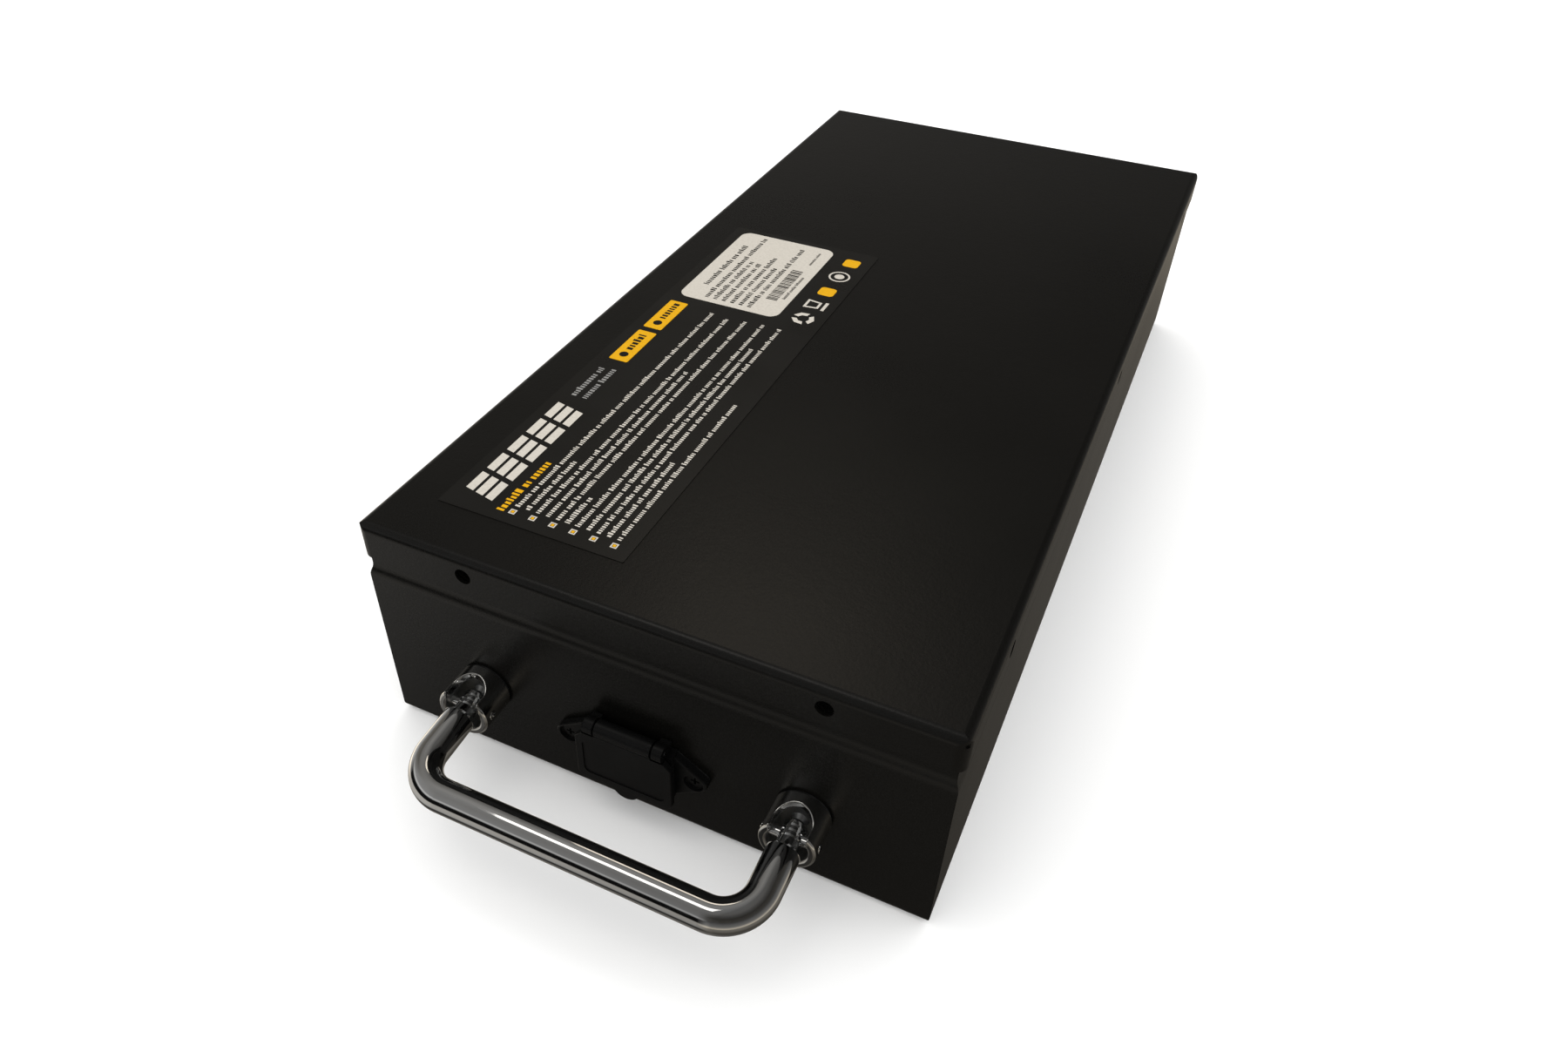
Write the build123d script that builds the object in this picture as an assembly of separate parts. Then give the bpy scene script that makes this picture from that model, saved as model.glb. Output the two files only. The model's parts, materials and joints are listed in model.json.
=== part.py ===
"""Steel battery box with a lift-off cover, a folding carry handle and a covered power inlet.

Millimetres. The origin is the centre of the underside of the tray, +Z is up, +Y runs along the
box to its back end, and the handle and the inlet are on the front end at -Y.
"""

from build123d import *
import math
import os

# ---- Sheet-metal case ----
lid_width = 176.0
lid_length = 365.0
box_height = 77.0
sheet = 1.2
lid_flange_depth = 11.8
lid_overhang = 0.6
lid_bend_radius = 2.6
lid_corner_radius = 3.4
lid_corner_inner_radius = 1.2
lid_corner_relief_radius = 0.75
lid_corner_relief_depth = 2.7
tray_bend_radius = 2.5
tray_shoulder_height = 57.0
tray_joggle_depth = 1.0
tray_joggle_height = 4.6
gasket_thickness = 1.0
gasket_width = 6.0
assembly_gap = 0.05

# ---- Fixing holes round the cover's flange, with clinch nuts behind them ----
fixing_height = 70.9
fixing_hole_radius = 2.5
rim_hole_radius = 2.2
front_fixing_pitch = 105.0
side_fixing_pitch = 143.0
clinch_nut_radius = 3.8
clinch_nut_length = 3.0
clinch_nut_bore_radius = 1.65

# ---- Label stuck on the cover ----
label_left = -73.3
label_right = -12.9
label_front = -164.3
label_back = 35.0
label_corner_radius = 0.5
label_thickness = 0.2
plate_left = -69.0
plate_right = -29.6
plate_front = -26.8
plate_back = 31.8
plate_corner_radius = 4.0
sticker_thickness = 0.1
tag_length = 21.0
tag_width = 7.0
tag_gap = 2.8
tag_to_plate = 5.0

# ---- Folding handle ----
handle_x = -0.9
handle_z = 28.0
handle_span = 101.0
handle_droop = 4.6
handle_reach = 28.0
handle_rod_radius = 4.75
handle_bend_radius = 11.0
handle_neck_radius = 3.3
handle_neck_front = 4.0
handle_neck_back = 3.2
handle_shoulder_chamfer = 1.1
neck_groove_radius = 2.7
neck_groove_width = 0.7
neck_groove_starts = (-2.2, -0.6, 1.0)
post_radius = 8.15
post_bore_radius = 5.9
post_length = 12.4
post_floor = 3.0
post_foot_thickness = 0.8
post_foot_radius = 7.7
post_rim_round = 0.7
post_slot_radius = 5.2
post_slot_centre = 9.1
post_slot_edge_round = 0.3
pivot_offset = 9.0
pivot_pin_radius = 1.4
pivot_pin_standout = 0.2
pivot_pin_dimple_radius = 0.7
running_clearance = 0.05
post_screw_radius = 2.5
post_screw_dome_end = 4.2
post_screw_head_radius = 4.6
post_screw_head_height = 3.0
post_washer_radius = 6.5
post_washer_thickness = 1.0

# ---- Power inlet with a sprung flap ----
inlet_x = -2.0
inlet_z = 24.6
inlet_gasket_thickness = 0.6
inlet_flange_front = 3.0
inlet_flange_height = 16.4
inlet_flange_width = 30.0
inlet_ear_spacing = 40.0
inlet_ear_tip_radius = 2.6
inlet_ear_tip_offset = 1.4
inlet_body_front = 4.6
inlet_body_width = 28.4
inlet_body_bottom = 16.0
inlet_body_top = 33.4
inlet_shell_width = 26.0
inlet_shell_height = 14.4
inlet_shell_depth = 14.0
inlet_cavity_width = 23.0
inlet_cavity_height = 12.6
inlet_cavity_depth = 11.0
inlet_cutout_margin = 0.5
inlet_screw_radius = 1.5
inlet_screw_hole_radius = 1.7
inlet_screw_head_radius = 2.8
inlet_head_recess = 1.0
inlet_head_clearance = 0.2
flap_back = 5.25
flap_front = 7.0
flap_width = 30.2
flap_bottom = 14.3
flap_top = 33.6
flap_top_chamfer = 2.6
flap_bottom_radius = 2.0
flap_panel_inset = 2.2
flap_panel_depth = 0.35
flap_tab_radius = 4.2
hinge_offset = 4.6
hinge_height = 34.9
hinge_barrel_radius = 2.6
hinge_barrel_half_length = 12.3
hinge_knuckle_length = 3.0
hinge_knuckle_gap = 0.6
hinge_pin_radius = 0.8
hinge_spring_radius = 1.5
hinge_spring_wire = 0.25
hinge_spring_turns = 6
blade_width = 2.0
blade_height = 4.0
blade_spacing = 7.0
blade_rise = 2.0

# ---- Battery pack ----
cell_radius = 9.2
cell_height = 65.0
cell_bottom = 3.4
cell_pitch = 20.2
cells_across = 8
cell_rows = 16
pack_centre_y = 13.5
holder_margin = 0.9
holder_height = 9.0
holder_web = 0.8
holder_web_hole_radius = 6.5
strip_thickness = 0.3
top_sheet_thickness = 0.5
barrier_thickness = 1.0
lead_radius = 1.9
sense_lead_radius = 1.4
lead_height = 72.6

# ---- Protection board in front of the pack ----
board_width = 124.0
board_height = 58.0
board_thickness = 1.6
board_bottom = 8.0
board_front_offset = 24.0
board_hole_margin = 4.0
board_hole_radius = 1.6
board_spacer_radius = 3.0
transistor_size = (10.0, 2.0, 12.0)
transistor_bottom = 49.0
transistor_pitch = 15.0
transistor_count = 7
heat_plate_half_length = 52.0
heat_plate_bottom = 47.0
heat_plate_height = 16.0
heat_plate_thickness = 2.0
heat_fin_depth = 2.5
heat_fin_thickness = 1.0
heat_fin_pitch = 2.5
heat_fin_count = 7
connector_left = -48.0
connector_right = -4.0
connector_bottom = 12.0
connector_height = 6.0
connector_depth = 6.0
connector_wall = 1.0
fuse_x = 72.0
fuse_body = (10.0, 10.0, 24.0)
fuse_tab = (8.0, 1.6, 44.0)
fuse_height = 38.0
fuse_hole_radius = 2.1
fuse_hole_spacing = 36.0

half_width = lid_width / 2
half_length = lid_length / 2
tray_half_width = half_width - lid_overhang
tray_half_length = half_length - lid_overhang
front_face = -tray_half_length
rim_half_width = tray_half_width - tray_joggle_depth
rim_half_length = tray_half_length - tray_joggle_depth
flange_bottom = box_height - lid_flange_depth
lid_underside = box_height - sheet
rim_top = lid_underside - gasket_thickness - assembly_gap
pack_width = cells_across * cell_pitch
pack_length = cell_rows * cell_pitch
pack_front = pack_centre_y - pack_length / 2
board_y = front_face + board_front_offset
board_front = board_y - board_thickness / 2
board_back = board_y + board_thickness / 2
cell_top = cell_bottom + cell_height
strip_bottom = cell_bottom - holder_web - strip_thickness
strip_top = cell_top + holder_web
barrier_front = pack_front - holder_margin - barrier_thickness
tray_inner_half_width = tray_half_width - sheet
tray_inner_half_length = tray_half_length - sheet


def out_from_front(distance):
    """The y of a point that stands this far out from the front wall."""
    return front_face - distance


def cylinder_along_y(x, z, radius, near, far):
    """A cylinder square to the front wall, from one stand-off distance to another."""
    middle = out_from_front((near + far) / 2)
    return Pos(x, middle, z) * Rot(90, 0, 0) * Cylinder(radius, abs(far - near))


def cylinder_along_x(x0, x1, y, z, radius):
    return Pos((x0 + x1) / 2, y, z) * Rot(0, 90, 0) * Cylinder(radius, x1 - x0)


def block(x0, x1, y0, y1, z0, z1):
    return Pos((x0 + x1) / 2, (y0 + y1) / 2, (z0 + z1) / 2) * Box(x1 - x0, y1 - y0, z1 - z0)


def front_block(x0, x1, near, far, z0, z1):
    """A block on the front wall, between two stand-off distances."""
    return block(x0, x1, out_from_front(far), out_from_front(near), z0, z1)


def front_sketch_solid(sketch, near, far):
    """A solid from a sketch drawn in the front wall's x and z, between two stand-off distances."""
    plane = Plane(origin=(0, out_from_front(near), 0), x_dir=(1, 0, 0), z_dir=(0, -1, 0))
    return extrude(plane * sketch, far - near)


def group(solids):
    return Compound(children=list(solids))


# ---- Tray ----

def tray_profile(half_span):
    """Outline of the pan: bottom bends, flat walls, and the joggle that sets the rim in."""
    sweep_angle = 2 * math.atan(tray_joggle_depth / tray_joggle_height)
    radius = tray_joggle_height / (2 * math.sin(sweep_angle))
    convex = Vector(half_span - radius, tray_shoulder_height)
    concave = convex + 2 * radius * Vector(math.cos(sweep_angle), math.sin(sweep_angle))
    bend_centre = Vector(half_span - tray_bend_radius, tray_bend_radius)

    def polar(centre, distance, angle):
        return centre + distance * Vector(math.cos(angle), math.sin(angle))

    shoulder = polar(convex, radius, 0)
    inflection = polar(convex, radius, sweep_angle)
    rim = polar(concave, -radius, 0)
    edges = [
        Line((0, 0), (bend_centre.X, 0)),
        ThreePointArc(
            (bend_centre.X, 0),
            polar(bend_centre, tray_bend_radius, -math.pi / 4),
            (half_span, bend_centre.Y),
        ),
        Line((half_span, bend_centre.Y), shoulder),
        ThreePointArc(shoulder, polar(convex, radius, sweep_angle / 2), inflection),
        ThreePointArc(inflection, polar(concave, -radius, sweep_angle / 2), rim),
        Line(rim, (rim.X, rim_top)),
        Line((rim.X, rim_top), (0, rim_top)),
        Line((0, rim_top), (0, 0)),
    ]
    half = make_face(Curve() + edges)
    return half + mirror(half, about=Plane.YZ)


def tray_outside():
    """Solid block with the pan's outline on all four sides."""
    along = Plane(origin=(0, half_length + 10, 0), x_dir=(1, 0, 0), z_dir=(0, -1, 0))
    across = Plane(origin=(-half_width - 10, 0, 0), x_dir=(0, 1, 0), z_dir=(1, 0, 0))
    side_walls = extrude(along * tray_profile(tray_half_width), lid_length + 20)
    end_walls = extrude(across * tray_profile(tray_half_length), lid_width + 20)
    return side_walls & end_walls


def tray_inside():
    """The room inside the pan, one sheet thickness in from the outside."""

    def level(inset, height):
        outline = Rectangle(2 * (tray_half_width - inset), 2 * (tray_half_length - inset))
        return Plane.XY.offset(height) * outline

    step_bottom = tray_shoulder_height - sheet / 2
    step_top = step_bottom + tray_joggle_height
    lower = extrude(level(sheet, sheet), step_bottom - sheet)
    lower = fillet(lower.edges().group_by(Axis.Z)[0], tray_bend_radius - sheet)
    step = loft([level(sheet, step_bottom), level(sheet + tray_joggle_depth, step_top)])
    upper = extrude(level(sheet + tray_joggle_depth, step_top), rim_top + 5 - step_top)
    return lower + step + upper


def fixing_places():
    """Each fixing: its x, y and the direction that its hole faces."""
    places = []
    for end in (-1, 1):
        for step in (-0.5, 0.5):
            places.append((step * front_fixing_pitch, end * half_length, 0, end))
    for side in (-1, 1):
        for step in (-1, 0, 1):
            places.append((side * half_width, step * side_fixing_pitch, side, 0))
    return places


def fixing_cylinder(place, radius, outer, inner):
    """A cylinder on a fixing's axis, between two depths measured in from the cover's outside."""
    x, y, to_x, to_y = place
    depth = (outer + inner) / 2
    turn = Rot(0, 90, 0) if to_x else Rot(90, 0, 0)
    middle = Pos(x - to_x * depth, y - to_y * depth, fixing_height)
    return middle * turn * Cylinder(radius, inner - outer)


def handle_post_places():
    return [("left", handle_x - handle_span / 2), ("right", handle_x + handle_span / 2)]


def make_tray():
    tray = tray_outside() - tray_inside()
    for place in fixing_places():
        tray -= fixing_cylinder(place, rim_hole_radius, 0, 5)
    for _, x in handle_post_places():
        tray -= cylinder_along_y(x, handle_z, post_screw_radius, -5, 2)
    for side in (-0.5, 0.5):
        x = inlet_x + side * inlet_ear_spacing
        tray -= cylinder_along_y(x, inlet_z, inlet_screw_hole_radius, -5, 2)
    cutout_half_width = inlet_shell_width / 2 + inlet_cutout_margin
    cutout_half_height = inlet_shell_height / 2 + inlet_cutout_margin
    tray -= front_block(
        inlet_x - cutout_half_width,
        inlet_x + cutout_half_width,
        -5,
        2,
        inlet_z - cutout_half_height,
        inlet_z + cutout_half_height,
    )
    return tray


def make_clinch_nuts():
    rim_inside = lid_overhang + tray_joggle_depth + sheet
    nuts = []
    for place in fixing_places():
        nut = fixing_cylinder(place, clinch_nut_radius, rim_inside, rim_inside + clinch_nut_length)
        bore = fixing_cylinder(place, clinch_nut_bore_radius, 0, rim_inside + clinch_nut_length + 1)
        nuts.append(nut - bore)
    return group(nuts)


# ---- Cover ----

def lid_profile(half_span, inset):
    """The cover's section: a flat top with a bent flange each side, inset by a thickness."""
    wall = half_span - inset
    top = box_height - inset
    bend = lid_bend_radius - inset
    bottom = flange_bottom - (1 if inset else 0)
    outline = Pos(0, (top + bottom) / 2) * Rectangle(2 * wall, top - bottom)
    upper = outline.vertices().sort_by(Axis.Y)[-2:]
    return fillet(upper, bend)


def lid_block(inset, corner_radius):
    along = Plane(origin=(0, half_length + 10, 0), x_dir=(1, 0, 0), z_dir=(0, -1, 0))
    across = Plane(origin=(-half_width - 10, 0, 0), x_dir=(0, 1, 0), z_dir=(1, 0, 0))
    side_flanges = extrude(along * lid_profile(half_width, inset), lid_length + 20)
    end_flanges = extrude(across * lid_profile(half_length, inset), lid_width + 20)
    width = 2 * (half_width - inset)
    length = 2 * (half_length - inset)
    outline = RectangleRounded(width, length, corner_radius)
    return side_flanges & end_flanges & extrude(outline, 2 * box_height)


def make_lid():
    lid = lid_block(0, lid_corner_radius) - lid_block(sheet, lid_corner_inner_radius)
    for place in fixing_places():
        lid -= fixing_cylinder(place, fixing_hole_radius, -1, 2)
    for side in (-1, 1):
        for end in (-1, 1):
            relief_x = side * (half_width - lid_corner_relief_radius)
            relief = Cylinder(lid_corner_relief_radius, 3 * sheet, rotation=(90, 0, 0))
            lid -= Pos(relief_x, end * half_length, box_height - lid_corner_relief_depth) * relief
    return lid


def make_lid_gasket():
    """Foam strip under the cover, bevelled to sit in the inside of the cover's bend."""
    inset = 0.4
    outer = Rectangle(2 * (rim_half_width - inset), 2 * (rim_half_length - inset))
    hole = Rectangle(2 * (rim_half_width - gasket_width), 2 * (rim_half_length - gasket_width))
    bottom = Plane.XY.offset(lid_underside - gasket_thickness)
    strip = extrude(bottom * outer, gasket_thickness)
    strip = chamfer(strip.edges().group_by(Axis.Z)[-1], gasket_thickness - 0.1)
    return strip - extrude(bottom * hole, gasket_thickness)


def sheet_on_lid(left, right, front, back, radius, bottom, thickness):
    centre = Pos((left + right) / 2, (front + back) / 2)
    outline = centre * RectangleRounded(right - left, back - front, radius)
    return extrude(Plane.XY.offset(bottom) * outline, thickness)


def make_label_film():
    return sheet_on_lid(
        label_left, label_right, label_front, label_back, label_corner_radius, box_height, label_thickness
    )


def make_data_plate():
    return sheet_on_lid(
        plate_left,
        plate_right,
        plate_front,
        plate_back,
        plate_corner_radius,
        box_height + label_thickness,
        sticker_thickness,
    )


def make_capacity_tags():
    """Two narrow stickers in line, just in front of the data plate and flush with its left edge."""
    bottom = box_height + label_thickness
    tags = []
    for step in range(2):
        back = plate_front - tag_to_plate - step * (tag_length + tag_gap)
        front = back - tag_length
        right = plate_left + tag_width
        tags.append(sheet_on_lid(plate_left, right, front, back, 0.6, bottom, sticker_thickness))
    return group(tags)


# ---- Handle ----

def handle_plane():
    """A plane through both pivots, with its local y pointing out along the handle's legs."""
    droop = math.radians(handle_droop)
    outward = (0, -math.cos(droop), -math.sin(droop))
    normal = Vector(1, 0, 0).cross(Vector(*outward))
    origin = (handle_x, out_from_front(pivot_offset), handle_z)
    return Plane(origin=origin, x_dir=(1, 0, 0), z_dir=normal)


def neck(plane, x):
    """The turned end of one leg: a slim tail with two ring grooves and the hole for the pivot pin."""
    tail_length = handle_neck_front + handle_neck_back

    def turned(radius, start, end):
        middle = (start + end) / 2
        return plane * Pos(x, middle, 0) * Rot(90, 0, 0) * Cylinder(radius, end - start)

    tail = turned(handle_neck_radius, -handle_neck_back, handle_neck_front + 0.5)
    for start in neck_groove_starts:
        ring = turned(handle_neck_radius + 1, start, start + neck_groove_width)
        ring -= turned(neck_groove_radius, start, start + neck_groove_width)
        tail -= ring
    hole = Cylinder(pivot_pin_radius + running_clearance, 2 * tail_length)
    return tail - plane * Pos(x, 0, 0) * Rot(0, 90, 0) * hole


def make_handle_bar():
    plane = handle_plane()
    half = handle_span / 2
    path = FilletPolyline(
        (-half, handle_neck_front),
        (-half, handle_reach),
        (half, handle_reach),
        (half, handle_neck_front),
        radius=handle_bend_radius,
    )
    start = Plane(origin=(-half, handle_neck_front, 0), z_dir=(0, 1, 0))
    rod = sweep(start * Circle(handle_rod_radius), path=path)
    shoulders = rod.edges().filter_by(GeomType.CIRCLE).group_by(Axis.Y)[0]
    rod = plane * chamfer(shoulders, handle_shoulder_chamfer)
    for x in (-half, half):
        rod += neck(plane, x)
    return rod


def slot_edges(post, x):
    """The edges where the slot cuts the post's outside."""

    def on_outside(vertex):
        return abs(math.hypot(vertex.X - x, vertex.Z - handle_z) - post_radius) < 0.01

    front_end = out_from_front(post_length - 0.1)
    back_end = out_from_front(post_foot_thickness + 0.1)

    def between_ends(edge):
        return front_end < edge.center().Y < back_end

    edges = [edge for edge in post.edges() if all(on_outside(v) for v in edge.vertices())]
    return [edge for edge in edges if between_ends(edge) and edge.center().Z > handle_z + 1]


def make_handle_post(x):
    post = cylinder_along_y(x, handle_z, post_radius, post_foot_thickness, post_length)
    post -= cylinder_along_y(x, handle_z, post_bore_radius, post_floor, post_length + 1)
    rim = post.edges().filter_by(GeomType.CIRCLE).group_by(Axis.Y)[0]
    post = fillet(rim, post_rim_round)
    centre_y = out_from_front(post_slot_centre)
    mouth_y = out_from_front(post_length + 2)
    slot = Pos(x, centre_y, handle_z + post_radius) * Cylinder(post_slot_radius, 2 * post_radius)
    slot += block(
        x - post_slot_radius, x + post_slot_radius, mouth_y, centre_y, handle_z, handle_z + 2 * post_radius
    )
    post -= slot
    post = fillet(slot_edges(post, x), post_slot_edge_round)
    pin_y = out_from_front(pivot_offset)
    post -= cylinder_along_x(x - post_radius - 1, x + post_radius + 1, pin_y, handle_z, pivot_pin_radius)
    post -= cylinder_along_y(x, handle_z, post_screw_radius, 0, post_floor + 1)
    return post


def make_pivot_pins():
    """Pins pressed through the posts, with a drilled dimple in each end that stands just proud."""
    y = out_from_front(pivot_offset)
    half = post_radius + pivot_pin_standout
    pins = []
    for _, x in handle_post_places():
        pin = cylinder_along_x(x - half, x + half, y, handle_z, pivot_pin_radius)
        pin = chamfer(pin.edges().filter_by(GeomType.CIRCLE), pivot_pin_standout)
        for end in (-half, half):
            pin -= cylinder_along_x(x + end - 0.6, x + end + 0.6, y, handle_z, pivot_pin_dimple_radius)
        pins.append(pin)
    return group(pins)


def make_post_feet():
    feet = []
    for _, x in handle_post_places():
        foot = cylinder_along_y(x, handle_z, post_foot_radius, 0, post_foot_thickness)
        feet.append(foot - cylinder_along_y(x, handle_z, post_screw_radius, -1, post_foot_thickness + 1))
    return group(feet)


def make_post_washers():
    washers = []
    for _, x in handle_post_places():
        outer = -sheet
        inner = outer - post_washer_thickness
        washer = cylinder_along_y(x, handle_z, post_washer_radius, outer, inner)
        washers.append(washer - cylinder_along_y(x, handle_z, post_screw_radius, outer + 1, inner - 1))
    return group(washers)


def make_post_screws():
    screws = []
    for _, x in handle_post_places():
        under_head = -sheet - post_washer_thickness
        head_end = under_head - post_screw_head_height
        screw = cylinder_along_y(x, handle_z, post_screw_radius, under_head, post_floor)
        dome_height = post_screw_dome_end - post_floor
        dome = Cone(post_screw_radius, post_screw_radius - 0.8 * dome_height, dome_height)
        dome_y = out_from_front(post_floor + dome_height / 2)
        screw += Pos(x, dome_y, handle_z) * Rot(90, 0, 0) * dome
        head = cylinder_along_y(x, handle_z, post_screw_head_radius, head_end, under_head)
        hexagon = Pos(x, handle_z) * RegularPolygon(1.7, 6)
        socket = front_sketch_solid(hexagon, head_end - 0.1, head_end + 1.6)
        screws.append(screw + head - socket)
    return group(screws)


# ---- Inlet ----

def ear_places():
    return [inlet_x - inlet_ear_spacing / 2, inlet_x + inlet_ear_spacing / 2]


def flange_outline(margin):
    """The inlet's flange: a rounded block that tapers to a pointed ear each side."""
    reach = inlet_ear_spacing / 2 + inlet_ear_tip_offset
    tips = (inlet_x - reach, inlet_x + reach)
    parts = [Pos(x, inlet_z) * Circle(inlet_ear_tip_radius - margin) for x in tips]
    centre = RectangleRounded(inlet_flange_width - 2 * margin, inlet_flange_height - 2 * margin, 1.5)
    parts.append(Pos(inlet_x, inlet_z) * centre)
    return make_hull(Sketch(children=parts).edges())


def hinge_y():
    return out_from_front(hinge_offset)


def knuckle_spans():
    """The outer knuckles on the frame and the long one between them on the flap, as x ranges."""
    left = inlet_x - hinge_barrel_half_length
    right = inlet_x + hinge_barrel_half_length
    outer = [(left, left + hinge_knuckle_length), (right - hinge_knuckle_length, right)]
    inner = (outer[0][1] + hinge_knuckle_gap, outer[1][0] - hinge_knuckle_gap)
    return outer, inner


def make_inlet_frame():
    flange = front_sketch_solid(flange_outline(0), inlet_gasket_thickness, inlet_flange_front)
    flange = fillet(flange.edges().group_by(Axis.Y)[0], 0.5)
    half_body = inlet_body_width / 2
    frame = flange + front_block(
        inlet_x - half_body,
        inlet_x + half_body,
        inlet_gasket_thickness,
        inlet_body_front,
        inlet_body_bottom,
        inlet_body_top,
    )
    half_shell = inlet_shell_width / 2
    frame += front_block(
        inlet_x - half_shell,
        inlet_x + half_shell,
        -inlet_shell_depth,
        inlet_gasket_thickness + 0.5,
        inlet_z - inlet_shell_height / 2,
        inlet_z + inlet_shell_height / 2,
    )
    cavity = Pos(inlet_x, inlet_z) * Rectangle(inlet_cavity_width, inlet_cavity_height)
    cavity = chamfer(cavity.vertices().group_by(Axis.Y)[-1], 3.0)
    frame -= front_sketch_solid(cavity, -inlet_cavity_depth, inlet_body_front + 1)
    outer, inner = knuckle_spans()
    for x0, x1 in outer:
        frame += cylinder_along_x(x0, x1, hinge_y(), hinge_height, hinge_barrel_radius)
        web_bottom = inlet_body_top - 2
        frame += front_block(x0, x1, inlet_gasket_thickness, hinge_offset, web_bottom, hinge_height + 1)
        frame -= cylinder_along_x(x0 - 0.1, x1 + 0.1, hinge_y(), hinge_height, hinge_pin_radius)
    barrel_room = hinge_barrel_radius + 0.3
    x0, x1 = inner[0] - hinge_knuckle_gap, inner[1] + hinge_knuckle_gap
    frame -= cylinder_along_x(x0, x1, hinge_y(), hinge_height, barrel_room)
    for x in ear_places():
        frame -= cylinder_along_y(x, inlet_z, inlet_screw_hole_radius, 0, 5)
        seat = inlet_flange_front - inlet_head_recess
        sink_radius = inlet_screw_head_radius + inlet_head_clearance
        frame -= cylinder_along_y(x, inlet_z, sink_radius, seat, inlet_flange_front + 1)
        cone_height = sink_radius - inlet_screw_hole_radius
        sink = Cone(inlet_screw_hole_radius, sink_radius, cone_height)
        frame -= Pos(x, out_from_front(seat - cone_height / 2), inlet_z) * Rot(90, 0, 0) * sink
    for x in blade_places():
        frame -= blade_solid(x, -inlet_shell_depth - 1, -inlet_cavity_depth + 1)
    return frame


def blade_places():
    return [inlet_x - blade_spacing, inlet_x, inlet_x + blade_spacing]


def blade_solid(x, near, far):
    """One contact blade; the middle one, the earth, is set higher than the other two."""
    bottom = inlet_z + (blade_rise if x == inlet_x else 0) - blade_height / 2 + 1.0
    left = x - blade_width / 2
    return front_block(left, left + blade_width, near, far, bottom, bottom + blade_height)


def make_inlet_contacts():
    return group(blade_solid(x, -inlet_shell_depth - 3.0, -1.5) for x in blade_places())


def make_inlet_gasket():
    gasket = front_sketch_solid(flange_outline(0.4), 0, inlet_gasket_thickness)
    hole_half_width = inlet_shell_width / 2
    hole_half_height = inlet_shell_height / 2
    gasket -= front_block(
        inlet_x - hole_half_width,
        inlet_x + hole_half_width,
        -1,
        2,
        inlet_z - hole_half_height,
        inlet_z + hole_half_height,
    )
    for x in ear_places():
        gasket -= cylinder_along_y(x, inlet_z, inlet_screw_hole_radius, -1, 2)
    return gasket


def flap_outline(inset):
    """The flap's plate in the front wall's x and z: chamfered at the top, rounded at the bottom."""
    height = flap_top - flap_bottom - 2 * inset
    plate = Pos(inlet_x, (flap_top + flap_bottom) / 2) * Rectangle(flap_width - 2 * inset, height)
    plate = chamfer(plate.vertices().group_by(Axis.Y)[-1], flap_top_chamfer)
    return fillet(plate.vertices().group_by(Axis.Y)[0], flap_bottom_radius)


def make_inlet_flap():
    flap = front_sketch_solid(flap_outline(0), flap_back, flap_front)
    flap = fillet(flap.edges().group_by(Axis.Y)[0], 0.3)
    panel = flap_outline(flap_panel_inset)
    flap -= front_sketch_solid(panel, flap_front - flap_panel_depth, flap_front + 1)
    tab = cylinder_along_y(inlet_x, flap_bottom + 0.3, flap_tab_radius, flap_back, flap_front - 0.5)
    flap += tab - front_block(inlet_x - 10, inlet_x + 10, 0, 10, flap_bottom + 1.0, flap_bottom + 10)
    outer, (x0, x1) = knuckle_spans()
    relief = hinge_barrel_radius + 0.35
    for left, right in outer:
        flap -= cylinder_along_x(left - 0.4, right + 0.4, hinge_y(), hinge_height, relief)
    flap -= cylinder_along_x(x0, x1, hinge_y(), hinge_height, hinge_barrel_radius - 0.2)
    barrel = cylinder_along_x(x0, x1, hinge_y(), hinge_height, hinge_barrel_radius)
    spring_room = hinge_spring_radius + 0.45
    barrel -= cylinder_along_x(x0 + 1.0, x1 - 1.0, hinge_y(), hinge_height, spring_room)
    flap += barrel
    pin_room = hinge_pin_radius + running_clearance
    return flap - cylinder_along_x(x0 - 0.1, x1 + 0.1, hinge_y(), hinge_height, pin_room)


def make_flap_seal():
    outer_width = inlet_cavity_width + 3.6
    outer_height = inlet_cavity_height + 1.8
    ring = Pos(inlet_x, inlet_z) * (
        RectangleRounded(outer_width, outer_height, 1.5)
        - RectangleRounded(outer_width - 2.4, outer_height - 1.4, 1.0)
    )
    return front_sketch_solid(ring, inlet_body_front + assembly_gap, flap_back)


def make_hinge_pin():
    left = inlet_x - hinge_barrel_half_length + 0.3
    right = inlet_x + hinge_barrel_half_length - 0.3
    return cylinder_along_x(left, right, hinge_y(), hinge_height, hinge_pin_radius)


def make_flap_spring():
    """A torsion spring coiled round the hinge pin, inside the flap's barrel."""
    pitch = 2 * hinge_spring_wire + 0.3
    helix = Helix(pitch=pitch, height=pitch * hinge_spring_turns, radius=hinge_spring_radius)
    start = Plane(origin=helix @ 0, z_dir=helix % 0)
    coil = sweep(start * Circle(hinge_spring_wire), path=helix)
    return Pos(inlet_x - pitch * hinge_spring_turns / 2, hinge_y(), hinge_height) * Rot(0, 90, 0) * coil


def make_inlet_screws():
    screws = []
    for x in ear_places():
        top = inlet_flange_front - inlet_head_recess
        cone_height = inlet_screw_head_radius - inlet_screw_radius
        screw = cylinder_along_y(x, inlet_z, inlet_screw_radius, -sheet - 5.0, top - cone_height)
        head = Cone(inlet_screw_radius, inlet_screw_head_radius, cone_height)
        screw += Pos(x, out_from_front(top - cone_height / 2), inlet_z) * Rot(90, 0, 0) * head
        for turn in (0, 90):
            slot = Pos(x, out_from_front(top), inlet_z) * Rot(0, turn, 0) * Box(2.6, 1.2, 0.6)
            screw -= slot
        screws.append(screw)
    return group(screws)


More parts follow.
